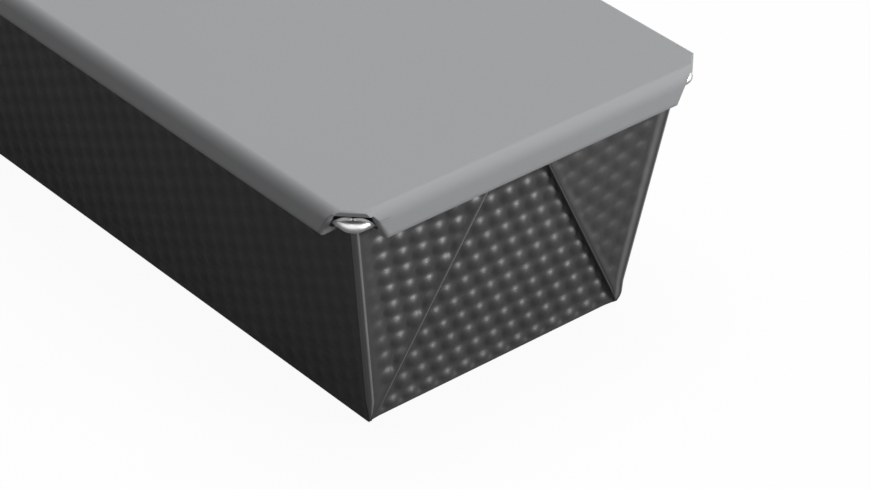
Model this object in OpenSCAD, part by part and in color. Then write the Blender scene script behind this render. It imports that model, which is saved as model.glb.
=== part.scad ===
// Lidded loaf tin folded from one sheet of steel, with a wire-edged rim and a soft moulded lid.
// Lengths are millimetres and angles degrees. The origin is under the middle of the bottom.
// X runs along the tin, Y across it and Z up.

/* [Bottom and walls] */
// Outside length of the flat bottom
bottom_l = 280; // [200:1:360]
// Outside width of the flat bottom
bottom_w = 90; // [75:1:130]
// Height from the table to the top of the rolled rim
pan_h = 76.85; // [60:0.05:90]
// Lean of the long walls away from upright
side_lean = 9.3; // [6:0.1:11]
// Lean of the end walls away from upright
end_lean = 6.3; // [4:0.1:8]
// Thickness of the sheet
sheet = 0.6; // [0.5:0.05:0.8]
// Outside radius of the folds round the bottom
bottom_fold_r = 1.5; // [1.2:0.1:3]

/* [Gusset flaps] */
// How far a folded flap stands off its end wall
flap_t = 1.5; // [1.2:0.1:1.8]
// Outside radius of the upright corner folds
corner_r = 2.2; // [1.8:0.1:2.8]
// Height over which the end wall steps out to the hem
hem_step_h = 5; // [4:0.5:8]

/* [Rim] */
// Diameter of the wire in the rim
wire_d = 3.4; // [2.8:0.1:3.6]
// Radius of the wire's centre line at the corners
wire_corner_r = 2.5; // [2.5:0.1:5]
// Where the curl's free edge ends, measured down from level on the outside
curl_end = 115; // [100:1:125]
// Width of the open slot between the curl's free edge and the wall
curl_slot = 32; // [20:1:36]
// How far the corner trim starts inside the wire's lines
trim_in = 0.9; // [0.6:0.1:1.4]
// Half the opening angle of the corner trim
trim_half_angle = 103; // [92:1:110]

/* [Lid] */
// Thickness of the lid's top
lid_top_t = 2.95; // [2.4:0.05:4]
// Thickness of the lid's top at its thinned corners
lid_corner_t = 1.5; // [1.2:0.1:2]
// How far the thinned corner reaches along the inside of each skirt
thin_leg = 12; // [9:0.5:20]
// Height of the whole lid
lid_h = 10.2; // [9.5:0.1:13]
// Thickness of the skirt at its lower bead
skirt_t = 1.7; // [1.4:0.1:3]
// Depth of the groove that takes the rim
groove_d = 0.5; // [0.3:0.1:0.7]
// Gap between the rim and the lid all round
lid_gap = 0.3; // [0.2:0.05:0.5]
// Radius of the lid's upper edge
lid_edge_r = 2; // [1:0.1:2.2]
// Radius of the skirt's lower outer edge
skirt_edge_r = 0.7; // [0.4:0.1:0.9]
// Length of the lid's corner notch along each side
notch_leg = 8; // [6:0.1:10]
// How far a skirt's end slants back over its height
notch_slant = 4.5; // [2:0.1:6]

/* [Hidden] */

$fn = 48;
// Small overlap that keeps surfaces from just touching where sheet runs into the curl
seat = 0.02;
// Room past a face for a cut
past = 10;

wire_r = wire_d / 2;
curl_r = wire_r + sheet + 4 * seat;
rim_z = pan_h - curl_r;
wall_top_z = rim_z + 0.3;

// Outer half width of the walls and of the flaps at the table
side_h0 = bottom_w / 2;
end_h0 = bottom_l / 2;
flap_h0 = end_h0 + flap_t / cos(end_lean);

// Half width at height z of a wall that starts h0 out and leans
function half_at(h0, lean, z) = h0 + z * tan(lean);

// A length to the nearest hundredth, so that the rim's runs meet its corners exactly
function hundredth(v) = round(100 * v) / 100;

// Lines of the wire's centre
wire_x = hundredth(half_at(flap_h0, end_lean, rim_z) + (wire_r + seat) / cos(end_lean));
wire_y = hundredth(half_at(side_h0, side_lean, rim_z) + (wire_r + seat) / cos(side_lean));

// Angle of a flap's free fold above the bottom edge of the end wall
end_edge_lean = atan(cos(end_lean) * tan(side_lean));
side_edge_lean = atan(cos(side_lean) * tan(end_lean));
fold_angle = 45 + 1.5 * end_edge_lean + 0.5 * side_edge_lean;

lid_x = wire_x + curl_r + lid_gap + skirt_t;
lid_y = wire_y + curl_r + lid_gap + skirt_t;
lid_seat_z = pan_h + lid_gap;
lid_top_z = lid_seat_z + lid_top_t;
lid_low_z = lid_top_z - lid_h;
lid_corner_z = lid_top_z - lid_corner_t;

steel = [0.16, 0.16, 0.17];
bright_wire = [0.86, 0.86, 0.87];
grey_silicone = [0.62, 0.63, 0.64];

// Runs a profile along X, with its x to +Y and its y up
module along_x(length) {
    rotate([90, 0, 90]) linear_extrude(height = length, center = true) children();
}

// Runs a profile along Y, with its x to +X and its y up
module along_y(length) {
    rotate([90, 0, 0]) linear_extrude(height = length, center = true) children();
}

// Repeats a shape made at the +X +Y corner at all four corners
module at_corners() {
    for (sx = [0, 1], sy = [0, 1]) mirror([sx, 0, 0]) mirror([0, sy, 0]) children();
}

// Cross-section of a leaning trough: floor height, fold radius, top height, step out near the top
module trough(h0, lean, floor_z, r, top_z, step = 0) {
    fold_z = floor_z + r;
    fold_x = half_at(h0, lean, fold_z) - r / cos(lean);
    step_z = wall_top_z - hem_step_h;
    half = [
        [fold_x, floor_z],
        [fold_x + r * cos(lean), fold_z - r * sin(lean)],
        [half_at(h0, lean, step_z), step_z],
        [half_at(h0, lean, wall_top_z) + step, wall_top_z],
        [half_at(h0, lean, top_z) + step, top_z]
    ];
    used = top_z > wall_top_z ? 4 : 3;
    right = [for (i = [0:used]) half[i]];
    left = [for (i = [used:-1:0]) [-half[i].x, half[i].y]];
    polygon(concat(right, left));
    for (s = [-1, 1]) translate([s * fold_x, fold_z]) circle(r);
}

// Everything inside the outer faces of the four walls
module outer_block() {
    intersection() {
        along_x(bottom_l + 100) trough(side_h0, side_lean, 0, bottom_fold_r, wall_top_z);
        along_y(bottom_w + 100)
            trough(end_h0, end_lean, 0, bottom_fold_r, wall_top_z, flap_t / cos(end_lean));
    }
}

// The space inside the tin, open upwards
module loaf_space() {
    r = bottom_fold_r - sheet;
    intersection() {
        along_x(bottom_l + 100)
            trough(side_h0 - sheet / cos(side_lean), side_lean, sheet, r, wall_top_z + past);
        along_y(bottom_w + 100)
            trough(end_h0 - sheet / cos(end_lean), end_lean, sheet, r, wall_top_z + past,
                flap_t / cos(end_lean));
    }
}

// Limits of the flaps: between the long walls, off the table and below the curl
module flap_zone() {
    intersection() {
        along_x(bottom_l + 100) trough(side_h0, side_lean, 0, bottom_fold_r, wall_top_z);
        along_y(bottom_w + 100)
            trough(flap_h0 + 5 * seat, end_lean, 0, bottom_fold_r + flap_t, wall_top_z);
    }
}

// One folded flap on the +X end wall at its +Y corner, with its rounded free fold
module flap() {
    reach = wall_top_z / cos(end_lean) + 1;
    fold_r = flap_t / 2 + 2.5 * seat;
    sunk = sheet / 2;
    translate([end_h0, side_h0, 0]) rotate([0, end_lean, 0]) {
        translate([-sunk, 0, 0]) rotate([90, 0, 90]) linear_extrude(flap_t + sunk)
            polygon([[past, 0], [0, 0], [-reach / tan(fold_angle), reach], [3 * past, reach]]);
        translate([flap_t / 2 - seat, 0, 0]) rotate([90 - fold_angle, 0, 0])
            translate([0, 0, -past]) cylinder(r = fold_r, h = reach / sin(fold_angle) + past);
    }
}

// What the upright corner fold takes off the square corner at +X +Y
module corner_fold_cut() {
    lean_out = atan(norm([tan(end_lean), tan(side_lean)]));
    heading = atan2(tan(side_lean), tan(end_lean));
    translate([flap_h0, side_h0, 0]) rotate([0, lean_out, heading]) rotate([0, 0, -heading])
        translate([-corner_r, -corner_r, -past])
            linear_extrude(wall_top_z + 3 * past) difference() {
                square(corner_r + past);
                circle(corner_r + 2 * seat);
            }
}

// A profile carried once round the rim, with its x outwards and its y up
module round_the_rim() {
    run_x = wire_x - wire_corner_r;
    run_y = wire_y - wire_corner_r;
    translate([0, 0, rim_z]) {
        for (s = [0, 1]) {
            mirror([0, s, 0]) translate([0, wire_y, 0]) along_x(2 * run_x) children();
            mirror([s, 0, 0]) translate([wire_x, 0, 0]) along_y(2 * run_y) children();
        }
        at_corners() translate([run_x, run_y, 0])
            rotate_extrude(angle = 90) translate([wire_corner_r, 0]) children();
    }
}

// Section of the sheet curled tightly over the wire, open below next to the wall
module curl_section() {
    slot_end = curl_end + curl_slot;
    difference() {
        circle(curl_r);
        circle(wire_r - seat);
        polygon([[0, 0], past * [cos(curl_end), -sin(curl_end)],
            past * [cos(slot_end), -sin(slot_end)]]);
    }
}

// What is trimmed off the curl at the +X +Y corner, so that the wire can turn
module corner_trim() {
    low = 45 - trim_half_angle;
    high = 45 + trim_half_angle;
    translate([wire_x - trim_in, wire_y - trim_in, rim_z - past / 2]) linear_extrude(past)
        polygon([[0, 0], 2 * past * [cos(low), sin(low)], [2 * past, 2 * past],
            2 * past * [cos(high), sin(high)]]);
}

// The tin's one sheet: bottom, walls, flaps and curl
module folded_pan() {
    color(steel) union() {
        difference() {
            union() {
                outer_block();
                intersection() {
                    at_corners() flap();
                    flap_zone();
                }
            }
            loaf_space();
            at_corners() corner_fold_cut();
            round_the_rim() circle(wire_r);
        }
        difference() {
            round_the_rim() curl_section();
            at_corners() corner_trim();
        }
    }
}

// The closed ring of wire that the curl grips
module rim_wire() {
    color(bright_wire) round_the_rim() circle(wire_r);
}

// Outside section of the lid for a half width
module lid_section(half) {
    low_half = half - skirt_edge_r;
    top_half = half - lid_edge_r;
    polygon([
        [-low_half, lid_low_z], [low_half, lid_low_z],
        [half, lid_low_z + skirt_edge_r], [half, lid_top_z - lid_edge_r],
        [top_half, lid_top_z], [-top_half, lid_top_z],
        [-half, lid_top_z - lid_edge_r], [-half, lid_low_z + skirt_edge_r]
    ]);
    for (s = [-1, 1]) {
        translate([s * low_half, lid_low_z + skirt_edge_r]) circle(skirt_edge_r);
        translate([s * top_half, lid_top_z - lid_edge_r]) circle(lid_edge_r);
    }
}

// Room inside the skirt: past the bead, and wider in the groove that takes the rim
module lid_room() {
    groove_low_z = rim_z - curl_r - lid_gap;
    bead_x = lid_x - skirt_t;
    bead_y = lid_y - skirt_t;
    translate([-bead_x, -bead_y, lid_low_z - past])
        cube([2 * bead_x, 2 * bead_y, lid_seat_z - lid_low_z + past]);
    translate([-bead_x - groove_d, -bead_y - groove_d, groove_low_z])
        cube([2 * (bead_x + groove_d), 2 * (bead_y + groove_d), lid_seat_z - groove_low_z]);
}

// Side view of the gap at a skirt's end, measured from the lid's corner
module skirt_end_gap() {
    drop = lid_corner_z - lid_low_z;
    low = drop + past;
    polygon([[past, lid_corner_z], [-notch_leg, lid_corner_z],
        [-notch_leg - notch_slant * low / drop, lid_corner_z - low], [past, lid_corner_z - low]]);
}

// Hollow under the +X +Y corner of the lid's top, which lets the corner bend
module thin_corner() {
    translate([lid_x - skirt_t, lid_y - skirt_t, lid_seat_z - 1])
        linear_extrude(lid_corner_z - lid_seat_z + 1) polygon([[-thin_leg, 0], [0, -thin_leg], [0, 0]]);
}

// Notch at the lid's +X +Y corner: the top is cut across and both skirts end short of it
module lid_notch() {
    skirt_cut = 2 * (skirt_t + 1);
    translate([lid_x, lid_y, lid_low_z - past])
        linear_extrude(lid_h + 2 * past)
            polygon([[-notch_leg - past, past], [past, -notch_leg - past], [past, past]]);
    translate([lid_x, lid_y, 0]) along_y(skirt_cut) skirt_end_gap();
    translate([lid_x, lid_y, 0]) along_x(skirt_cut) skirt_end_gap();
}

// The soft lid that lies over the rim on all four sides
module lid() {
    color(grey_silicone) difference() {
        intersection() {
            along_x(2 * lid_x + past) lid_section(lid_y);
            along_y(2 * lid_y + past) lid_section(lid_x);
        }
        lid_room();
        at_corners() lid_notch();
        at_corners() thin_corner();
    }
}

folded_pan();
rim_wire();
lid();
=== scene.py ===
"""Looks of a folded loaf tin: embossed sheet, gusset flaps, curled wire rim and a soft grey lid."""

import logging
import math
from collections.abc import Callable, Iterable
from dataclasses import dataclass, field
from enum import Enum
from functools import cached_property

import bmesh
import bpy
from mathutils import Matrix, Vector

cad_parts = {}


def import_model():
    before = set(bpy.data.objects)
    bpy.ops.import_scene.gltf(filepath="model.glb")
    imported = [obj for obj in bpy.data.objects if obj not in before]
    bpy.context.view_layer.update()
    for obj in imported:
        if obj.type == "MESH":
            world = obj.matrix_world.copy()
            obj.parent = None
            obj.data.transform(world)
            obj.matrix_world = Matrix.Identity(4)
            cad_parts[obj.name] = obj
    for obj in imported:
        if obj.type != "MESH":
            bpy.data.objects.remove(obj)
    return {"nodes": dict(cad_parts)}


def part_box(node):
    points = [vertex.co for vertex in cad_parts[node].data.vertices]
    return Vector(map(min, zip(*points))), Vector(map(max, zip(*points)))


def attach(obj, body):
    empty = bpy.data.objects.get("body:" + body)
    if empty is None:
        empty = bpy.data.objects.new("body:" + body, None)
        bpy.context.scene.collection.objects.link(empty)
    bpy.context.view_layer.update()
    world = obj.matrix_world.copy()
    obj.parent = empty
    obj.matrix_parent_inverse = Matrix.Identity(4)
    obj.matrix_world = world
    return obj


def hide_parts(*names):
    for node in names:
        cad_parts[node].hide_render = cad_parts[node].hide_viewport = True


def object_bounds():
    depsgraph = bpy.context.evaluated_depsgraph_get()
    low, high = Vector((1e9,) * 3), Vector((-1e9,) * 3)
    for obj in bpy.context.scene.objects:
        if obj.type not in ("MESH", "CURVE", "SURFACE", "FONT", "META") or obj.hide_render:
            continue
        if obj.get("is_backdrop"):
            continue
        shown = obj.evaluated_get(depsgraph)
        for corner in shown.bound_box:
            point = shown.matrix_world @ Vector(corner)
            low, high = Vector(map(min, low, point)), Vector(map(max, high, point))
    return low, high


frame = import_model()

log = logging.getLogger("loaf_tin")
CAD_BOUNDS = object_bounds()
MM = 0.001
# Vertex layer with the share of painted shine, a light metallic tone that stands in for sheen and highlights
# on the steel
PAINTED_SHINE = "painted_shine_share"
SHARP_ANGLE = math.radians(50)

PAN_BODY = "pan"
LID_BODY = "lid"
PAN_NODE = "folded_pan"
WIRE_NODE = "rim_wire"
LID_NODE = "lid"


class Slot(Enum):
    """Material slots of the record."""

    STEEL = "coated_steel"
    WIRE = "bright_wire"
    SILICONE = "lid_silicone"


def smooth(t: float) -> float:
    """Eases from 0 to 1 as t goes from 0 to 1, and stays level outside that."""
    t = min(max(t, 0.0), 1.0)
    return t * t * (3.0 - 2.0 * t)


# Sizes of the folded tin


@dataclass(frozen=True)
class TinSizes:
    """Driving sizes of the tin, in metres and radians.

    They are the construction's, but for tighter bends at the bottom and the corners, which lie
    inside its box.
    """

    bottom_l: float = 280 * MM
    bottom_w: float = 90 * MM
    side_lean: float = math.radians(9.3)
    end_lean: float = math.radians(6.3)
    sheet: float = 0.6 * MM
    bottom_fold_r: float = 1.0 * MM
    flap_t: float = 1.5 * MM
    corner_r: float = 1.6 * MM
    hem_step_h: float = 5 * MM
    wire_r: float = 1.7 * MM
    trim_start: float = 2.5 * MM
    trim_slope: float = 0.9
    curl_room: float = 0.08 * MM
    curl_overlap: float = 0.3 * MM

    @cached_property
    def curl_r(self) -> float:
        """Outer radius of the curl."""
        return self.wire_r + self.sheet + self.curl_room

    @cached_property
    def rim_z(self) -> float:
        """Height of the wire's centre line, from the wire's own box."""
        low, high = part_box(WIRE_NODE)
        return (low.z + high.z) / 2

    @cached_property
    def wire_x(self) -> float:
        """Distance of the end runs' centre line from the middle."""
        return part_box(WIRE_NODE)[1].x - self.wire_r

    @cached_property
    def wire_y(self) -> float:
        """Distance of the long runs' centre line from the middle."""
        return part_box(WIRE_NODE)[1].y - self.wire_r

    @cached_property
    def wall_top(self) -> float:
        """Height at which a wall runs into the curl."""
        return self.rim_z + self.curl_overlap


@dataclass(frozen=True)
class Emboss:
    """The staggered pattern of low domes rolled into the flat sheet before folding.

    The domes stand in rows across the blank, half a pitch apart from row to row, and the
    pattern runs on unbroken over bottom, walls and flaps.
    """

    height: float = 1.0 * MM
    fullness: float = 1.2
    half_length: float = 2.95 * MM
    half_width: float = 2.8 * MM
    row_pitch: float = 6.2 * MM
    dome_pitch: float = 6.4 * MM
    row_start: float = 142.15 * MM
    dome_start: float = 2.06 * MM

    def relief(self, u: float, v: float) -> float:
        """Height of the sheet's face against its highest level.

        Args:
            u: distance along the blank's length.
            v: distance across it.

        Returns:
            A value from minus the domes' height up to 0.
        """
        row = round((u - self.row_start) / self.row_pitch)
        along = (u - self.row_start - row * self.row_pitch) / self.half_length
        place = (v - self.dome_start) / self.dome_pitch - 0.5 * (row % 2)
        across = (place - round(place)) * self.dome_pitch / self.half_width
        rest = max(0.0, 1.0 - along ** 2 - across ** 2)
        return self.height * (rest ** self.fullness - 1.0)


@dataclass(frozen=True)
class Profile:
    """Outside of the sheet from the flat bottom round its fold and up a leaning wall."""

    half: float
    lean: float
    radius: float

    @cached_property
    def fold_start(self) -> float:
        """Distance from the middle at which the bottom starts to turn up."""
        return self.half + self.radius * math.tan(self.lean) - self.radius / math.cos(self.lean)

    @cached_property
    def fold_length(self) -> float:
        """Length of sheet in the fold."""
        return self.radius * (math.pi / 2 - self.lean)

    def length_to(self, z: float) -> float:
        """Length of sheet from the start of the fold up to height z on the wall."""
        top_of_fold = self.radius * (1 - math.sin(self.lean))
        return self.fold_length + (z - top_of_fold) / math.cos(self.lean)

    def at(self, s: float) -> tuple[float, float, float, float]:
        """A point of the face and its outward normal.

        Args:
            s: length of sheet past the start of the fold.

        Returns:
            Distance out from the middle, height, and the normal's parts outwards and upwards.
        """
        turn = min(s / self.radius, math.pi / 2 - self.lean)
        out = self.fold_start + self.radius * math.sin(turn)
        up = self.radius * (1 - math.cos(turn))
        past = max(0.0, s - self.fold_length)
        out += past * math.sin(self.lean)
        up += past * math.cos(self.lean)
        return out, up, math.sin(turn), -math.cos(turn)

    def out_at(self, z: float) -> float:
        """Distance out from the middle at height z."""
        top_of_fold = self.radius * (1 - math.sin(self.lean))
        if z >= top_of_fold:
            return self.half + z * math.tan(self.lean)
        sag = self.radius - max(z, 0.0)
        return self.fold_start + math.sqrt(max(self.radius ** 2 - sag ** 2, 0.0))


# Mesh helpers


def new_object(name: str, bm: bmesh.types.BMesh, materials: Iterable[bpy.types.Material]) -> bpy.types.Object:
    """Turns a bmesh into a smooth-shaded object of the scene.

    Args:
        name: name of the object and its mesh.
        bm: the finished bmesh, which is freed.
        materials: materials in slot order.

    Returns:
        The new object.
    """
    bmesh.ops.recalc_face_normals(bm, faces=bm.faces[:])
    mesh = bpy.data.meshes.new(name)
    bm.to_mesh(mesh)
    bm.free()
    mesh.polygons.foreach_set("use_smooth", [True] * len(mesh.polygons))
    mesh.set_sharp_from_angle(angle=SHARP_ANGLE)
    obj = bpy.data.objects.new(name, mesh)
    bpy.context.scene.collection.objects.link(obj)
    for material in materials:
        mesh.materials.append(material)
    return obj


def sheet_slab(
    name: str,
    across: int,
    along: int,
    front: Callable[[float, float], Vector],
    back: Callable[[float, float], Vector],
    material: bpy.types.Material,
    edge_material: bpy.types.Material | None = None,
    painted_shine_share: Callable[[float, float], float] | None = None,
) -> bpy.types.Object:
    """Makes a closed piece of sheet from its two faces.

    Args:
        name: name of the piece.
        across: number of segments in the first direction.
        along: number of segments in the second direction.
        front: place of the outer face at two values from 0 to 1.
        back: place of the inner face at the same values.
        material: finish of the sheet.
        edge_material: finish of the two cut ends of the second direction, if it differs.
        painted_shine_share: the share of painted shine, a light metallic tone that stands in for sheen and
            highlights, on the outer face at two values from 0 to 1, if there is any.

    Returns:
        The new object.
    """
    bm = bmesh.new()
    shine_paint = bm.verts.layers.float.new(PAINTED_SHINE)
    bmesh.ops.create_grid(bm, x_segments=across, y_segments=along, size=0.5)
    half = Vector((0.5, 0.5, 0.0))
    outer = bm.verts[:]
    flat = set(bm.faces)
    grown = bmesh.ops.extrude_face_region(bm, geom=bm.faces[:], use_keep_orig=True)
    inner = [item for item in grown["geom"] if isinstance(item, bmesh.types.BMVert)]
    flat.update(item for item in grown["geom"] if isinstance(item, bmesh.types.BMFace))
    if edge_material:
        for face in bm.faces:
            if face not in flat and abs(face.calc_center_median().y) > 0.4999:
                face.material_index = 1
    outer_places = [v.co + half for v in outer]
    inner_places = [v.co + half for v in inner]
    for v, place in zip(outer, outer_places):
        v.co = front(place.x, place.y)
    # Painted shine: sheen and highlights painted into the steel as a light metallic share per vertex
    if painted_shine_share:
        for v, place in zip(outer, outer_places):
            v[shine_paint] = painted_shine_share(place.x, place.y)
    for v, place in zip(inner, inner_places):
        v.co = back(place.x, place.y)
    return new_object(name, bm, [m for m in (material, edge_material) if m])


def apply_modifiers(obj: bpy.types.Object) -> None:
    """Bakes an object's modifiers into its mesh."""
    graph = bpy.context.evaluated_depsgraph_get()
    graph.update()
    mesh = bpy.data.meshes.new_from_object(obj.evaluated_get(graph))
    obj.modifiers.clear()
    old = obj.data
    obj.data = mesh
    bpy.data.meshes.remove(old)


# Shader groups


class NodeTree:
    """A small helper that adds and joins nodes of one tree."""

    def __init__(self, tree: bpy.types.NodeTree) -> None:
        """Keeps the tree that nodes are added to."""
        self.tree = tree

    def add(self, kind: str, **values: object) -> bpy.types.Node:
        """Adds a node and sets its properties.

        Args:
            kind: the node's type name.
            values: properties of the node.

        Returns:
            The new node.
        """
        node = self.tree.nodes.new(kind)
        for key, value in values.items():
            setattr(node, key, value)
        return node

    def join(self, start: bpy.types.NodeSocket, end: bpy.types.NodeSocket) -> None:
        """Joins an output socket to an input socket."""
        self.tree.links.new(start, end)

    def spread(
        self, value: bpy.types.NodeSocket, low: float, high: float, to_low: float, to_high: float
    ) -> bpy.types.NodeSocket:
        """Maps a value from one range to another, clamped.

        Args:
            value: the value's socket.
            low: start of the range that comes in.
            high: end of the range that comes in.
            to_low: start of the range that goes out.
            to_high: end of the range that goes out.

        Returns:
            The mapped value's socket.
        """
        node = self.add("ShaderNodeMapRange")
        for name, number in (("From Min", low), ("From Max", high), ("To Min", to_low), ("To Max", to_high)):
            node.inputs[name].default_value = number
        self.join(value, node.inputs["Value"])
        return node.outputs["Result"]


def surface_grain_group() -> bpy.types.NodeTree:
    """Builds the group of fine grain and slow clouding that every finish shares.

    Returns:
        A group with Fine, Coarse, Depth and Strength inputs, and Mask, Cloud and Normal outputs.
    """
    group = bpy.data.node_groups.new("surface_grain", "ShaderNodeTree")
    sockets = group.interface
    for name, value in (("Fine Scale", 2500.0), ("Cloud Scale", 18.0), ("Strength", 0.1), ("Depth", 0.00002)):
        made = sockets.new_socket(name, in_out="INPUT", socket_type="NodeSocketFloat")
        made.default_value = value
    sockets.new_socket("Mask", in_out="OUTPUT", socket_type="NodeSocketFloat")
    sockets.new_socket("Cloud", in_out="OUTPUT", socket_type="NodeSocketFloat")
    sockets.new_socket("Normal", in_out="OUTPUT", socket_type="NodeSocketVector")
    tree = NodeTree(group)
    ins = tree.add("NodeGroupInput")
    outs = tree.add("NodeGroupOutput")
    place = tree.add("ShaderNodeTexCoord").outputs["Object"]
    fine = tree.add("ShaderNodeTexNoise")
    cloud = tree.add("ShaderNodeTexNoise")
    for noise, detail, scale in ((fine, 3.0, "Fine Scale"), (cloud, 2.0, "Cloud Scale")):
        noise.inputs["Detail"].default_value = detail
        tree.join(place, noise.inputs["Vector"])
        tree.join(ins.outputs[scale], noise.inputs["Scale"])
    bump = tree.add("ShaderNodeBump")
    tree.join(ins.outputs["Strength"], bump.inputs["Strength"])
    tree.join(ins.outputs["Depth"], bump.inputs["Distance"])
    tree.join(fine.outputs["Fac"], bump.inputs["Height"])
    tree.join(fine.outputs["Fac"], outs.inputs["Mask"])
    tree.join(cloud.outputs["Fac"], outs.inputs["Cloud"])
    tree.join(bump.outputs["Normal"], outs.inputs["Normal"])
    return group


@dataclass(frozen=True)
class Finish:
    """A procedural finish: one colour that clouds a little, fine grain and a gloss."""

    name: str
    dark: tuple[float, float, float]
    light: tuple[float, float, float]
    roughness: tuple[float, float]
    metallic: float = 0.0
    fine_scale: float = 2500.0
    cloud_scale: float = 18.0
    grain: float = 0.1
    grain_depth: float = 0.02 * MM
    specular: float = 0.5
    mask_range: tuple[float, float] = (0.35, 0.65)
    # Light metallic tone mixed in for painted sheen and highlights, where the vertex layer asks for it
    shine_paint: tuple[float, float, float] | None = None

    def build(self, grain: bpy.types.NodeTree) -> bpy.types.Material:
        """Builds the material.

        Args:
            grain: the shared group of grain.

        Returns:
            The new material.
        """
        material = bpy.data.materials.new(self.name)
        material.use_nodes = True
        tree = NodeTree(material.node_tree)
        shader = material.node_tree.nodes["Principled BSDF"]
        shader.inputs["Metallic"].default_value = self.metallic
        shader.inputs["Specular IOR Level"].default_value = self.specular
        texture = tree.add("ShaderNodeGroup", node_tree=grain)
        texture.inputs["Fine Scale"].default_value = self.fine_scale
        texture.inputs["Cloud Scale"].default_value = self.cloud_scale
        texture.inputs["Strength"].default_value = self.grain
        texture.inputs["Depth"].default_value = self.grain_depth
        both = tree.add("ShaderNodeMath", operation="MULTIPLY_ADD")
        both.inputs[1].default_value = 0.5
        tree.join(texture.outputs["Mask"], both.inputs[0])
        half_cloud = tree.add("ShaderNodeMath", operation="MULTIPLY")
        half_cloud.inputs[1].default_value = 0.5
        tree.join(texture.outputs["Cloud"], half_cloud.inputs[0])
        tree.join(half_cloud.outputs[0], both.inputs[2])
        low, high = self.mask_range
        share = tree.spread(both.outputs[0], low, high, 0.0, 1.0)
        colour = tree.add("ShaderNodeMix", data_type="RGBA")
        colour.inputs["A"].default_value = (*self.dark, 1.0)
        colour.inputs["B"].default_value = (*self.light, 1.0)
        tree.join(share, colour.inputs["Factor"])
        shown = colour.outputs["Result"]
        # Painted shine: mixes in the light metallic tone and metallic share where the vertex layer sets
        # painted sheen and highlights
        if self.shine_paint:
            shine_mask = tree.add("ShaderNodeAttribute", attribute_name=PAINTED_SHINE).outputs["Fac"]
            metal = tree.add("ShaderNodeMix", data_type="RGBA")
            metal.inputs["B"].default_value = (*self.shine_paint, 1.0)
            tree.join(shown, metal.inputs["A"])
            tree.join(shine_mask, metal.inputs["Factor"])
            tree.join(shine_mask, shader.inputs["Metallic"])
            shown = metal.outputs["Result"]
        tree.join(shown, shader.inputs["Base Color"])
        rough = tree.spread(texture.outputs["Cloud"], low, high, *self.roughness)
        tree.join(rough, shader.inputs["Roughness"])
        tree.join(texture.outputs["Normal"], shader.inputs["Normal"])
        return material


@dataclass
class Finishes:
    """Every finish of the tin and its lid."""

    grain: bpy.types.NodeTree = field(default_factory=surface_grain_group)

    def __post_init__(self) -> None:
        """Builds the materials once."""
        # The steel's light metallic tone is painted shine, set per vertex
        self.steel = Finish(
            "dark_coated_steel", (0.010, 0.010, 0.011), (0.020, 0.020, 0.022), (0.37, 0.45),
            fine_scale=2600.0, cloud_scale=30.0, grain=0.8, grain_depth=0.045 * MM, specular=0.85,
            shine_paint=(0.62, 0.62, 0.63),
        ).build(self.grain)
        self.cut_edge = Finish(
            "sheared_steel_edge", (0.45, 0.45, 0.46), (0.7, 0.7, 0.71), (0.25, 0.4), metallic=1.0,
            grain=0.1,
        ).build(self.grain)
        self.wire = Finish(
            "bright_drawn_wire", (0.86, 0.86, 0.87), (0.95, 0.95, 0.95), (0.38, 0.46), metallic=1.0,
            fine_scale=1800.0, grain=0.08,
        ).build(self.grain)
        self.silicone = Finish(
            "matte_grey_silicone", (0.330, 0.335, 0.342), (0.360, 0.365, 0.372), (0.60, 0.72),
            fine_scale=4200.0, cloud_scale=9.0, grain=0.15, specular=0.3,
        ).build(self.grain)


# The folded sheet


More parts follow.
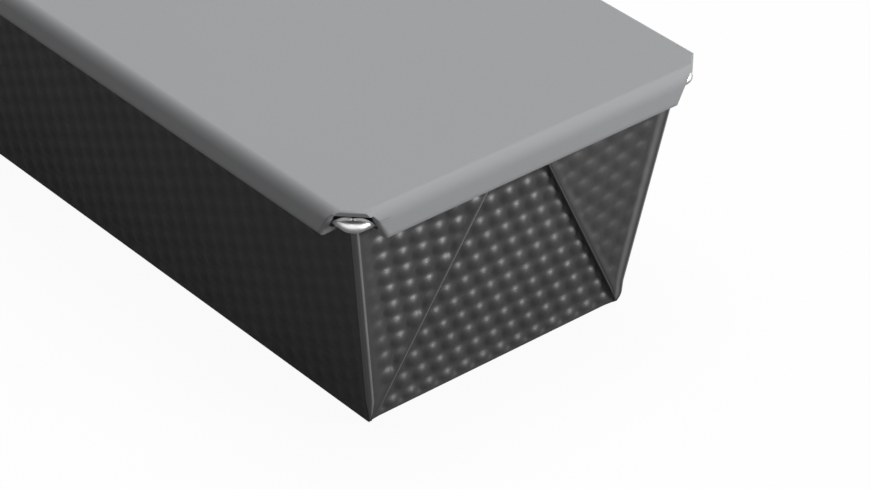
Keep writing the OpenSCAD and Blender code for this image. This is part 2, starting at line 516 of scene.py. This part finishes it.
@dataclass
class FoldedTin:
    """The one folded sheet: bottom, walls, gusset flaps and curl."""

    sizes: TinSizes
    emboss: Emboss
    finishes: Finishes
    # Mesh steps
    bottom_step: float = 0.8 * MM
    long_step: float = 0.8 * MM
    end_step: float = 0.62 * MM
    flap_grid: tuple[int, int] = (110, 130)
    curl_grid: tuple[int, int] = (64, 24)
    # Distances over which the domes fade out, and how far they are pressed flat
    bend_fade: float = 2.0 * MM
    corner_fade: float = 4.0 * MM
    flap_corner_fade: float = 7.0 * MM
    flap_fold_fade: float = 2.6 * MM
    fold_sink: float = 1.4 * MM
    long_press: float = 0.55
    pressed: float = 0.5
    # Upright corner folds, which tighten towards the bottom
    corner_tight: float = 0.4
    corner_full_at: float = 9.0 * MM
    # Hidden overlaps between the pieces of the one sheet
    end_seat: float = 0.3 * MM
    long_spare: float = 0.6
    flap_spare: float = 0.2 * MM
    back_inset: float = 0.15 * MM
    back_sink: float = 0.3 * MM
    # Free folds of the flaps
    turn_share: float = 0.2
    roll_rise: float = 0.07 * MM
    roll_root: float = 0.7 * MM
    settle_width: float = 2.4 * MM
    flap_full_width: float = 6.0 * MM
    flap_full_height: float = 5.0 * MM
    crest_rise: float = 0.16 * MM
    # Painted shine, mixed in as light metallic steel: an even painted sheen that lightens ends and flaps,
    # painted highlights along the folds, and a painted streak of light on the far flaps
    painted_sheen: float = 0.075
    near_glint: float = math.radians(64)
    far_glint: float = math.radians(42)
    near_glint_half: float = math.radians(32)
    far_glint_half: float = math.radians(20)
    glint_gain: float = 1.5
    painted_bend_shine: float = 0.3
    painted_streak: float = 0.32
    painted_streak_at: float = 2.2 * MM
    painted_streak_half: float = 1.4 * MM
    crest_at: float = math.radians(18)
    crest_half: float = math.radians(14)
    # Turn of the curl before and after the upper half circle
    curl_root: float = math.radians(4)
    curl_end: float = math.radians(112)
    curl_seat: float = 0.02 * MM

    def __post_init__(self) -> None:
        """Works out the two profiles, the flap's outer one and the free fold's angle."""
        s = self.sizes
        self.edge_lean = math.atan(math.cos(s.end_lean) * math.tan(s.side_lean))
        self.side_edge_lean = math.atan(math.cos(s.side_lean) * math.tan(s.end_lean))
        self.fold_angle = math.pi / 4 + 1.5 * self.edge_lean + 0.5 * self.side_edge_lean
        self.side = Profile(s.bottom_w / 2, s.side_lean, s.bottom_fold_r)
        self.end = Profile(s.bottom_l / 2, s.end_lean, s.bottom_fold_r)
        flap_half = s.bottom_l / 2 + s.flap_t / math.cos(s.end_lean)
        self.flap_face = Profile(flap_half, s.end_lean, s.bottom_fold_r + s.flap_t)

    def corner_bend(self, z: float) -> float:
        """Radius of the upright corner fold at height z: it tightens towards the bottom."""
        grown = smooth(z / self.corner_full_at)
        return self.sizes.corner_r * (self.corner_tight + (1 - self.corner_tight) * grown)

    def wall_end(self, z: float) -> float:
        """Where a long wall starts to turn into the corner fold at height z."""
        return self.flap_face.out_at(z) - self.corner_bend(z)

    def bottom(self) -> bpy.types.Object:
        """Makes the flat, embossed bottom."""
        half_x = self.end.fold_start
        half_y = self.side.fold_start

        def level(a: float, b: float) -> tuple[float, float, float]:
            """Place in plan and lift of the sheet above the table."""
            x = (2 * a - 1) * half_x
            y = (2 * b - 1) * half_y
            edge = min(half_x - abs(x), half_y - abs(y))
            return x, y, -self.emboss.relief(x, y) * smooth(edge / self.bend_fade)

        def under(a: float, b: float) -> Vector:
            """The face that stands on the table."""
            return Vector(level(a, b))

        def upper(a: float, b: float) -> Vector:
            """The face that the loaf lies on."""
            x, y, lift = level(a, b)
            return Vector((x, y, lift + self.sizes.sheet))

        return sheet_slab(
            "pan_bottom", int(2 * half_x / self.bottom_step), int(2 * half_y / self.bottom_step),
            under, upper, self.finishes.steel,
        )

    def long_wall(self, side: int, name: str) -> bpy.types.Object:
        """Makes a long wall with its fold to the bottom.

        Args:
            side: -1 for the wall at -Y and 1 for the wall at +Y.
            name: the piece's name.

        Returns:
            The new object.
        """
        s = self.sizes
        length = self.side.length_to(s.wall_top)

        def face(a: float, b: float, depth: float, spare: float) -> Vector:
            """A point of the wall, depth behind its face and a share of the corner fold past its end."""
            run = b * length
            out, up, n_out, n_up = self.side.at(run)
            reach = self.wall_end(up)
            x = (2 * a - 1) * (reach + spare * self.corner_bend(up))
            fade = smooth((run - self.side.fold_length) / self.bend_fade)
            fade *= smooth((length - run) / self.bend_fade) * smooth((reach - abs(x)) / self.corner_fade)
            push = self.emboss.relief(x, side * (self.side.fold_start + run)) * fade * self.long_press - depth
            return Vector((x, side * (out + n_out * push), up + n_up * push))

        return sheet_slab(
            name, int(2 * self.wall_end(s.wall_top) / self.long_step), int(length / self.long_step),
            lambda a, b: face(a, b, 0.0, 0.0), lambda a, b: face(a, b, s.sheet, self.long_spare),
            self.finishes.steel,
        )

    def end_wall(self, side: int, name: str) -> bpy.types.Object:
        """Makes an end wall with its fold to the bottom and its step out to the hem.

        Args:
            side: -1 for the wall at -X and 1 for the wall at +X.
            name: the piece's name.

        Returns:
            The new object.
        """
        s = self.sizes
        length = self.end.length_to(s.wall_top)
        sin_f, cos_f = math.sin(self.fold_angle), math.cos(self.fold_angle)

        def face(a: float, b: float, depth: float) -> Vector:
            """A point of the wall, depth behind its outer face."""
            run = b * length
            out, up, n_out, n_up = self.end.at(run)
            out += s.flap_t / math.cos(s.end_lean) * smooth((up - s.wall_top + s.hem_step_h) / s.hem_step_h)
            reach = self.side.out_at(up) - self.end_seat
            y = (2 * a - 1) * reach
            rise = smooth((run - self.end.fold_length) / self.bend_fade)
            fade = smooth((length - run) / self.bend_fade) * smooth((reach - abs(y)) / self.corner_fade)
            fold = (s.bottom_w / 2 - abs(y)) * sin_f - (run - s.bottom_fold_r) * cos_f
            sunk = smooth(fold / self.fold_sink)
            level = -self.emboss.height / 2
            relief = (self.emboss.relief(side * (self.end.fold_start + run), y) - level) * sunk + level
            foot = level * smooth(run / self.end.fold_length)
            push = (foot + (relief - foot) * rise) * fade - depth
            return Vector((side * (out + n_out * push), y, up + n_up * push))

        return sheet_slab(
            name, int(2 * self.side.out_at(s.wall_top) / self.end_step), int(length / self.end_step),
            lambda a, b: face(a, b, 0.0), lambda a, b: face(a, b, s.sheet), self.finishes.steel,
            # An even painted sheen lightens the whole end wall
            painted_shine_share=lambda a, b: self.painted_sheen,
        )

    def flap(self, side_x: int, side_y: int, name: str) -> bpy.types.Object:
        """Makes a gusset flap: the long wall's sheet carried round the corner and folded back.

        Args:
            side_x: -1 or 1, the end that it lies on.
            side_y: -1 or 1, the long wall that it comes from.
            name: the piece's name.

        Returns:
            The new object.
        """
        s = self.sizes
        cos_e, sin_e = math.cos(s.end_lean), math.sin(s.end_lean)
        edge_lean = self.edge_lean
        side_edge_lean = self.side_edge_lean
        fold_angle = self.fold_angle
        tall = s.wall_top / cos_e + self.flap_spare
        fold_r = s.flap_t / 2 + self.roll_rise
        turn_share = self.turn_share
        far = side_x * side_y > 0
        press = self.pressed if far else 1.0
        glint = self.far_glint if far else self.near_glint
        glint_half = self.far_glint_half if far else self.near_glint_half

        def world(inward: float, proud: float, height: float) -> Vector:
            """Turns a place on the end wall's face into one in the frame, inside the folds."""
            z = max(height * cos_e - proud * sin_e, 0.0)
            x = s.bottom_l / 2 + proud * cos_e + height * sin_e
            y = s.bottom_w / 2 - inward
            x = min(x, self.flap_face.out_at(z) + max(proud - s.flap_t, 0.0))
            y = min(y, self.side.out_at(z))
            return Vector((side_x * x, side_y * y, z))

        def relief(inward: float, height: float, free: float, corner: float) -> float:
            """Depth of the pattern, turned with the long wall's sheet."""
            along = -inward * math.sin(edge_lean) + height * math.cos(edge_lean)
            off = inward * math.cos(edge_lean) + height * math.sin(edge_lean)
            u = s.bottom_l / 2 + along * math.sin(side_edge_lean) + off * math.cos(side_edge_lean)
            v = s.bottom_w / 2 + along * math.cos(side_edge_lean) - off * math.sin(side_edge_lean)
            fade = smooth((free - inward - fold_r) / self.flap_fold_fade)
            fade *= smooth((inward - corner - s.corner_r) / self.flap_corner_fade)
            return self.emboss.relief(side_x * u, side_y * v) * fade * press

        def lie(b: float) -> tuple[float, float, float, float, float, float]:
            """Height, free fold, corner, share of full size, corner bend and thickness at b."""
            height = b * tall
            free = height / math.tan(fold_angle)
            corner = -height * math.tan(edge_lean)
            size = min(1.0, (free - corner) / self.flap_full_width)
            top = s.flap_t * smooth(height / self.flap_full_height) ** 0.5
            return height, free, corner, size, self.corner_bend(height * cos_e) * size, top

        def front(a: float, b: float) -> Vector:
            """A point of the flap's outer face, from the free fold round to the long wall."""
            height, free, corner, size, bend, top = lie(b)
            roll = fold_r * size
            if a < turn_share:
                angle = -math.pi / 2 + math.pi * a / turn_share
                middle = max(top - roll, 0.0) + self.roll_rise * size
                if angle < 0:
                    return world(free, middle + (middle + self.roll_root) * angle / (math.pi / 2), height)
                return world(free - roll + roll * math.cos(angle), middle + roll * math.sin(angle), height)
            if a > 1 - turn_share:
                angle = math.pi / 2 * (a - 1 + turn_share) / turn_share
                crest = self.crest_rise * size * math.exp(-((angle - self.crest_at) / self.crest_half) ** 2)
                inward = corner + bend - (bend + crest) * math.sin(angle)
                return world(inward, top - bend + (bend + crest) * math.cos(angle), height)
            share = (a - turn_share) / (1 - 2 * turn_share)
            inward = (free - roll) * (1 - share) + (corner + bend) * share
            settle = 2 * self.roll_rise * size * (1 - smooth((free - roll - inward) / self.settle_width))
            proud = top + settle + relief(inward, height, free, corner)
            return world(inward, proud, height)

        def back(a: float, b: float) -> Vector:
            """A point of the flap's hidden face, sunk into the end wall."""
            height, free, corner, size, bend, top = lie(b)
            inward = (free - fold_r * size) * (1 - a) + (corner + self.back_inset) * a
            low = min(top - bend, -self.back_sink)
            return world(inward, -self.roll_root * (1 - a) + low * a, height)

        def painted_shine_share(a: float, b: float) -> float:
            """Share of painted shine: painted highlights along the free fold's roll and the corner fold's
            crest, an even painted sheen, more of it over the corner fold, and a painted streak of light on
            the far flaps.
            """
            roll = 1 - abs((a / turn_share - 0.5) * math.pi - glint) / glint_half
            crest = 1 - abs((a - 1 + turn_share) / turn_share * math.pi / 2 - self.crest_at) / self.crest_half
            if a > 1 - turn_share:
                # Over the corner fold: a painted highlight along its crest, on a painted shine that covers
                # the whole bend
                return max(self.painted_bend_shine, min(1.0, self.glint_gain * crest))
            share = max(0.0, (a - turn_share) / (1 - 2 * turn_share))
            width = b * tall * (1 / math.tan(fold_angle) + math.tan(edge_lean))
            # A painted streak of light near the corner, on the far flaps only
            painted_streak = self.painted_streak * math.exp(-((width * (1 - share) - self.painted_streak_at) / self.painted_streak_half) ** 2)
            return max(self.painted_sheen, min(1.0, self.glint_gain * roll), painted_streak if far else 0.0)

        return sheet_slab(name, *self.flap_grid, front, back, self.finishes.steel, painted_shine_share=painted_shine_share)

    def curl(self, half_run: float, line: float, lean: float, name: str, place: Matrix) -> bpy.types.Object:
        """Makes one side of the curl over the wire, mitred in the flat so that its ends spiral back.

        Args:
            half_run: half the distance between the wire's lines at the two ends.
            line: distance of this side's wire line from the middle.
            lean: lean of the wall that it grows out of.
            name: the piece's name.
            place: turn from a side along X at +Y to this one.

        Returns:
            The new object.
        """
        s = self.sizes
        start = lean - math.pi / 2 - self.curl_root
        stop = math.pi / 2 + self.curl_end
        inner_r = s.wire_r + self.curl_seat

        def point(a: float, b: float, radius: float) -> Vector:
            """A point of the curl at a given radius, a of the way round and b along."""
            turn = start + (stop - start) * a
            cut = s.trim_start + s.trim_slope * s.curl_r * turn
            reach = half_run - max(cut, -s.curl_r * math.sin(turn))
            out, up = line + radius * math.sin(turn), s.rim_z + radius * math.cos(turn)
            return place @ Vector(((2 * b - 1) * reach, out, up))

        return sheet_slab(
            name, *self.curl_grid, lambda a, b: point(a, b, s.curl_r), lambda a, b: point(a, b, inner_r),
            self.finishes.steel, self.finishes.cut_edge,
        )

    def build(self) -> list[bpy.types.Object]:
        """Builds every piece of the sheet.

        Returns:
            The pieces, all standing for the folded pan.
        """
        s = self.sizes
        quarter = Matrix.Rotation(math.pi / 2, 4, "Z")
        half = Matrix.Rotation(math.pi, 4, "Z")
        pieces = [self.bottom()]
        pieces += [self.long_wall(-1, "long_wall_near"), self.long_wall(1, "long_wall_far")]
        pieces += [self.end_wall(-1, "end_wall_left"), self.end_wall(1, "end_wall_right")]
        for side_x, x_name in ((-1, "left"), (1, "right")):
            for side_y, y_name in ((-1, "near"), (1, "far")):
                pieces.append(self.flap(side_x, side_y, f"gusset_flap_{x_name}_{y_name}"))
        pieces.append(self.curl(s.wire_x, s.wire_y, s.side_lean, "curl_far", Matrix.Identity(4)))
        pieces.append(self.curl(s.wire_x, s.wire_y, s.side_lean, "curl_near", half))
        pieces.append(self.curl(s.wire_y, s.wire_x, s.end_lean, "curl_left", quarter))
        pieces.append(self.curl(s.wire_y, s.wire_x, s.end_lean, "curl_right", half @ quarter))
        for piece in pieces:
            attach(piece, PAN_BODY)
            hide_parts(PAN_NODE)
        return pieces


# The lid


@dataclass
class SoftLid:
    """The soft moulded lid: top, four skirts that hug the rim, and corner notches."""

    sizes: TinSizes
    finishes: Finishes
    skirt_t: float = 5.6 * MM
    rim_gap: float = 0.35 * MM
    top_t: float = 2.95 * MM
    corner_t: float = 1.5 * MM
    thin_leg: float = 14 * MM
    hollow_wall: float = 1.65 * MM
    notch_leg: float = 8 * MM
    notch_slant: float = 4.5 * MM
    edge_r: float = 2.6 * MM
    edge_fall: float = 1.8
    low_edge_r: float = 1.3 * MM
    low_fall: float = 1.5
    lip_edge_r: float = 0.6 * MM
    end_edge_r: float = 1.5 * MM
    plate_edge_r: float = 0.7 * MM
    sharp_angle: float = math.radians(36)
    rim_reach: float = 12 * MM
    end_reach: float = 14.5 * MM
    cut_past: float = 4 * MM
    skirt_past: float = 0.8 * MM
    hollow_past: float = 1 * MM

    def __post_init__(self) -> None:
        """Reads the lid's outer size from its solid."""
        low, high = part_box(LID_NODE)
        self.half_x = high.x
        self.half_y = high.y
        self.low_z = low.z
        self.top_z = high.z
        self.under_z = high.z - self.top_t
        self.corner_z = high.z - self.corner_t

    def section(self) -> list[tuple[float, float]]:
        """Works out the skirt's section.

        Returns:
            Points as distance in from the outer face and height, round the closed outline.
        """
        s = self.sizes
        centre = self.half_x - s.wire_x
        pocket = s.curl_r + self.rim_gap
        lip_z = s.rim_z - pocket
        inner = self.lip_edge_r
        lower = self.low_edge_r
        upper = self.edge_r
        points = [(self.rim_reach, self.under_z), (centre, self.under_z)]
        points += self._arc(centre, s.rim_z, pocket, 97, 270, 14)
        points += self._arc(self.skirt_t - inner, lip_z - inner, inner, 90, 0, 4)
        points += self._arc(self.skirt_t - inner, self.low_z + inner, inner, 0, -90, 4)
        points += self._arc(lower, self.low_z + lower * self.low_fall, lower, 270, 180, 6, self.low_fall)
        points += self._arc(upper, self.top_z - upper * self.edge_fall, upper, 180, 90, 10, self.edge_fall)
        points.append((self.rim_reach, self.top_z))
        return points

    @staticmethod
    def _arc(
        x: float, z: float, r: float, start: float, stop: float, steps: int, tall: float = 1.0
    ) -> list[tuple[float, float]]:
        """Points on an arc.

        Args:
            x: its centre's distance in.
            z: its centre's height.
            r: its radius.
            start: first angle in degrees.
            stop: last angle in degrees.
            steps: number of steps between them.
            tall: its height against its width.

        Returns:
            The points, both ends included.
        """
        turns = [math.radians(start + (stop - start) * i / steps) for i in range(steps + 1)]
        return [(x + r * math.cos(t), z + r * tall * math.sin(t)) for t in turns]

    def body(self) -> bpy.types.Object:
        """Makes the lid with square corners."""
        bm = bmesh.new()
        points = self.section()
        inset = bm.verts.layers.float.new("inset")
        verts = []
        for depth, z in points:
            v = bm.verts.new((self.half_y - depth, 0.0, z))
            v[inset] = depth
            verts.append(v)
        outline = [bm.edges.new((verts[i], verts[i + 1])) for i in range(len(verts) - 1)]
        bmesh.ops.rotate(bm, verts=verts, cent=(0, 0, 0), matrix=Matrix.Rotation(math.pi / 4, 3, "Z"))
        bmesh.ops.spin(
            bm, geom=verts + outline, cent=(0, 0, 0), axis=(0, 0, 1), angle=2 * math.pi, steps=4,
            use_merge=True,
        )
        for v in bm.verts:
            out_x = self.half_x - v[inset]
            out_y = self.half_y - v[inset]
            v.co = Vector((math.copysign(out_x, v.co.x), math.copysign(out_y, v.co.y), v.co.z))
        bmesh.ops.remove_doubles(bm, verts=bm.verts[:], dist=0.01 * MM)
        bmesh.ops.holes_fill(bm, edges=[e for e in bm.edges if e.is_boundary], sides=0)
        return new_object("lid_shell", bm, [self.finishes.silicone])

    def notch_cutter(self) -> bpy.types.Object:
        """Makes the solids that cut all four corner notches."""
        bm = bmesh.new()
        past = self.cut_past
        drop = self.corner_z - self.low_z + past
        slant = self.notch_slant * drop / (drop - past)
        for side_x in (-1, 1):
            for side_y in (-1, 1):
                self._corner_prism(bm, side_x, side_y, past)
                self._hollow(bm, side_x, side_y)
                self._skirt_end(bm, side_x, side_y, past, drop, slant, along_x=True)
                self._skirt_end(bm, side_x, side_y, past, drop, slant, along_x=False)
        return new_object("notch_cutter", bm, [])

    def _corner_prism(self, bm: bmesh.types.BMesh, side_x: int, side_y: int, past: float) -> None:
        """Adds the prism that cuts the top's corner off and leaves its upper edge rounded.

        Args:
            bm: the cutter's bmesh.
            side_x: which end.
            side_y: which long side.
            past: room past the faces that are cut.
        """
        out = Vector((side_x, side_y, 0)).normalized()
        run = Vector((-side_y, side_x, 0)).normalized() * (self.notch_leg + past)
        leg = self.notch_leg / 2
        start = Vector((side_x * (self.half_x - leg), side_y * (self.half_y - leg), 0))
        r = self.plate_edge_r
        edge = self._arc(-r, self.top_z - r, r, 0, 80, 5)
        outline = [(0.0, self.low_z - past), *edge, (edge[-1][0], self.top_z + past)]
        outline += [(self.notch_leg + past, self.top_z + past), (self.notch_leg + past, self.low_z - past)]
        verts = [bm.verts.new(start + out * reach + Vector((0, 0, z)) - run) for reach, z in outline]
        self._raise(bm, bm.faces.new(verts), 2 * run)

    def _hollow(self, bm: bmesh.types.BMesh, side_x: int, side_y: int) -> None:
        """Adds the prism that thins the top from below at a corner, so that the corner can bend.

        Args:
            bm: the cutter's bmesh.
            side_x: which end.
            side_y: which long side.
        """
        x = side_x * (self.half_x - self.hollow_wall)
        y = side_y * (self.half_y - self.hollow_wall)
        low = self.under_z - self.hollow_past
        verts = [
            bm.verts.new((x, y, low)),
            bm.verts.new((x - side_x * self.thin_leg, y, low)),
            bm.verts.new((x, y - side_y * self.thin_leg, low)),
        ]
        self._raise(bm, bm.faces.new(verts), Vector((0, 0, self.corner_z - low)))

    def _skirt_end(
        self, bm: bmesh.types.BMesh, side_x: int, side_y: int, past: float, drop: float,
        slant: float, along_x: bool,
    ) -> None:
        """Adds the solid that ends one skirt short of the corner, with a slanted end.

        Args:
            bm: the cutter's bmesh.
            side_x: which end.
            side_y: which long side.
            past: room past the faces that are cut.
            drop: height of the solid.
            slant: how far its slanted face runs back over that height.
            along_x: True for the skirt on a long side.
        """
        side, other = (side_x, side_y) if along_x else (side_y, side_x)
        half, wide = (self.half_x, self.half_y) if along_x else (self.half_y, self.half_x)
        high = half - self.notch_leg
        inner = self.skirt_t + self.skirt_past
        r = self.end_edge_r
        edge = [(x, 2 * r - depth) for x, depth in self._arc(high - r, r, r, 0, 80, 6)]
        outline = [(half + past, inner), (high, inner), *edge, (edge[-1][0], -past), (half + past, -past)]
        verts = []
        for out, depth in outline:
            across = other * (wide - depth)
            place = (side * out, across) if along_x else (across, side * out)
            verts.append(bm.verts.new((*place, self.corner_z)))
        way = Vector((-side * slant, 0, -drop)) if along_x else Vector((0, -side * slant, -drop))
        self._raise(bm, bm.faces.new(verts), way)

    @staticmethod
    def _raise(bm: bmesh.types.BMesh, face: bmesh.types.BMFace, way: Vector) -> None:
        """Turns a face into a prism.

        Args:
            bm: the bmesh that it is in.
            face: its first end.
            way: the way to its other end.
        """
        grown = bmesh.ops.extrude_face_region(bm, geom=[face], use_keep_orig=True)
        moved = [g for g in grown["geom"] if isinstance(g, bmesh.types.BMVert)]
        bmesh.ops.translate(bm, verts=moved, vec=way)

    def soften(self, obj: bpy.types.Object) -> None:
        """Evens the shading of the moulded edges."""
        mesh = obj.data
        bm = bmesh.new()
        bm.from_mesh(mesh)
        bmesh.ops.remove_doubles(bm, verts=bm.verts[:], dist=0.005 * MM)
        bmesh.ops.dissolve_limit(
            bm, angle_limit=math.radians(0.5), verts=bm.verts[:], edges=bm.edges[:]
        )
        for side, half in ((Vector((1, 0, 0)), self.half_x), (Vector((0, 1, 0)), self.half_y)):
            for place in (half - self.end_reach, self.end_reach - half):
                bmesh.ops.bisect_plane(
                    bm, geom=bm.verts[:] + bm.edges[:] + bm.faces[:], plane_co=side * place, plane_no=side
                )
        for e in bm.edges:
            e.smooth = e.calc_face_angle(0.0) < self.sharp_angle
        bm.to_mesh(mesh)
        bm.free()
        even = obj.modifiers.new("even_shading", "WEIGHTED_NORMAL")
        even.keep_sharp = True

    def build(self) -> list[bpy.types.Object]:
        """Builds the lid.

        Returns:
            Its one piece.
        """
        lid = self.body()
        cutter = self.notch_cutter()
        cut = lid.modifiers.new("notches", "BOOLEAN")
        cut.operation = "DIFFERENCE"
        cut.solver = "EXACT"
        cut.use_self = True
        cut.object = cutter
        apply_modifiers(lid)
        bpy.data.objects.remove(cutter)
        self.soften(lid)
        apply_modifiers(lid)
        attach(lid, LID_BODY)
        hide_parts(LID_NODE)
        return [lid]


# Rim wire, camera, lights and floor


@dataclass
class RimWire:
    """The bright wire ring, which keeps its construction's shape."""

    finishes: Finishes

    def build(self) -> list[bpy.types.Object]:
        """Gives the wire its finish.

        Returns:
            The wire's node.
        """
        wire = frame["nodes"][WIRE_NODE]
        wire.data.materials.clear()
        wire.data.materials.append(self.finishes.wire)
        return [wire]


@dataclass(frozen=True)
class PhotoCamera:
    """The photograph's viewpoint, fitted to the tin's straight edges."""

    corner: tuple[float, float, float] = (140 * MM, -45 * MM, 0.0)
    focal_px: float = 3690.1626
    frame_px: float = 870.0
    azimuth: float = math.radians(49.8320)
    elevation: float = math.radians(33.8080)
    roll: float = math.radians(0.3087)
    distance: float = 994.5921 * MM
    shift_right: float = -18.0153 * MM
    shift_up: float = -48.1480 * MM
    sensor_mm: float = 36.0

    def build(self) -> bpy.types.Object:
        """Places the camera.

        Returns:
            The camera object.
        """
        cos_e = math.cos(self.elevation)
        sin_a, cos_a = math.sin(self.azimuth), math.cos(self.azimuth)
        back = Vector((sin_a * cos_e, -cos_a * cos_e, math.sin(self.elevation)))
        level = Vector((cos_a, sin_a, 0))
        upright = back.cross(level)
        right = math.cos(self.roll) * level + math.sin(self.roll) * upright
        up = -math.sin(self.roll) * level + math.cos(self.roll) * upright
        place = Vector(self.corner) + back * self.distance - right * self.shift_right - up * self.shift_up
        data = bpy.data.cameras.new("photo_camera")
        data.sensor_width = self.sensor_mm
        data.lens = self.focal_px / self.frame_px * self.sensor_mm
        data.clip_start = 0.01
        camera = bpy.data.objects.new("photo_camera", data)
        bpy.context.scene.collection.objects.link(camera)
        turn = Matrix((right, up, back)).transposed().to_4x4()
        camera.matrix_world = Matrix.Translation(place) @ turn
        bpy.context.scene.camera = camera
        return camera


@dataclass
class Studio:
    """A plain white floor and soft lights."""

    floor_half: float = 6.0
    floor_glow: float = 0.94
    floor_mirrored: float = 0.06
    surround: float = 0.25
    aim: tuple[float, float, float] = (0.1, 0.0, 0.04)

    def build(self) -> None:
        """Makes the floor, the lights and the world."""
        self._floor()
        self._world()
        self._light("low_key", (1.0, 0.62, 0.17), (0.5, 0.3), 7.6)
        self._light("overhead", (0.0, 0.1, 1.45), (1.1, 1.1), 14.0)

    def _floor(self) -> None:
        """Adds the floor."""
        bm = bmesh.new()
        bmesh.ops.create_grid(bm, x_segments=2, y_segments=2, size=self.floor_half)
        material = bpy.data.materials.new("white_sweep")
        material.use_nodes = True
        tree = NodeTree(material.node_tree)
        shader = material.node_tree.nodes["Principled BSDF"]
        shader.inputs["Roughness"].default_value = 0.8
        path = tree.add("ShaderNodeLightPath")
        tone = tree.add("ShaderNodeMix", data_type="RGBA")
        tone.inputs["A"].default_value = (0.1, 0.1, 0.1, 1)
        tone.inputs["B"].default_value = (0.9, 0.9, 0.9, 1)
        tree.join(path.outputs["Is Camera Ray"], tone.inputs["Factor"])
        tree.join(tone.outputs["Result"], shader.inputs["Base Color"])
        glow = tree.add("ShaderNodeEmission")
        glow.inputs["Color"].default_value = (1, 1, 1, 1)
        share = tree.add("ShaderNodeMath", operation="MULTIPLY")
        share.inputs[1].default_value = self.floor_glow
        mix = tree.add("ShaderNodeMixShader")
        out = material.node_tree.nodes["Material Output"]
        tree.join(self._seen(tree, path, self.floor_mirrored), share.inputs[0])
        tree.join(share.outputs[0], mix.inputs["Fac"])
        tree.join(shader.outputs[0], mix.inputs[1])
        tree.join(glow.outputs[0], mix.inputs[2])
        tree.join(mix.outputs[0], out.inputs["Surface"])
        floor = new_object("floor", bm, [material])
        floor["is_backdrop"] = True

    def _world(self) -> None:
        """Sets an even pale surround."""
        world = bpy.data.worlds.new("pale_surround")
        bpy.context.scene.world = world
        world.use_nodes = True
        tree = NodeTree(world.node_tree)
        soft = world.node_tree.nodes["Background"]
        soft.inputs["Color"].default_value = (1, 1, 1, 1)
        soft.inputs["Strength"].default_value = self.surround
        white = tree.add("ShaderNodeBackground")
        white.inputs["Color"].default_value = (1, 1, 1, 1)
        path = tree.add("ShaderNodeLightPath")
        seen = self._seen(tree, path, 1.0)
        mix = tree.add("ShaderNodeMixShader")
        out = world.node_tree.nodes["World Output"]
        tree.join(seen, mix.inputs["Fac"])
        tree.join(soft.outputs[0], mix.inputs[1])
        tree.join(white.outputs[0], mix.inputs[2])
        tree.join(mix.outputs[0], out.inputs["Surface"])

    @staticmethod
    def _seen(tree: NodeTree, path: bpy.types.Node, mirrored: float) -> bpy.types.NodeSocket:
        """Adds up the rays that see the white background.

        Args:
            tree: the material's or the world's nodes.
            path: its Light Path node.
            mirrored: share of the white that reflections see.

        Returns:
            The share of white, from 0 to 1.
        """
        glossy = tree.add("ShaderNodeMath", operation="MULTIPLY")
        glossy.inputs[1].default_value = mirrored
        tree.join(path.outputs["Is Glossy Ray"], glossy.inputs[0])
        both = tree.add("ShaderNodeMath", operation="MAXIMUM")
        tree.join(path.outputs["Is Camera Ray"], both.inputs[0])
        tree.join(glossy.outputs[0], both.inputs[1])
        every = tree.add("ShaderNodeMath", operation="MAXIMUM")
        tree.join(both.outputs[0], every.inputs[0])
        tree.join(path.outputs["Is Transmission Ray"], every.inputs[1])
        return every.outputs[0]

    def _light(
        self, name: str, place: tuple[float, float, float], size: tuple[float, float], power: float
    ) -> None:
        """Adds a soft light that faces the tin.

        Args:
            name: the light's name.
            place: where it stands.
            size: its width and height.
            power: its power in watts.
        """
        data = bpy.data.lights.new(name, "AREA")
        data.shape = "RECTANGLE"
        data.size, data.size_y = size
        data.energy = power
        light = bpy.data.objects.new(name, data)
        light.location = place
        light.rotation_euler = (Vector(place) - Vector(self.aim)).to_track_quat("Z", "Y").to_euler()
        bpy.context.scene.collection.objects.link(light)


def write_sizes() -> None:
    """Works out the construction's box and the visual model's box."""
    boxes = {"cad": CAD_BOUNDS, "visual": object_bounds()}
    plain = {name: [list(corner) for corner in box] for name, box in boxes.items()}


def main() -> None:
    """Builds the scene in order and reports each piece."""
    logging.basicConfig(level=logging.INFO, format="%(message)s")
    PhotoCamera().build()
    bpy.context.scene.view_settings.view_transform = "Standard"
    sizes = TinSizes()
    finishes = Finishes()
    made = FoldedTin(sizes, Emboss(), finishes).build()
    made += RimWire(finishes).build()
    made += SoftLid(sizes, finishes).build()
    Studio().build()
    for piece in made:
        log.info("%s: %d faces", piece.name, len(piece.data.polygons))
    write_sizes()


if __name__ == "__main__":
    main()
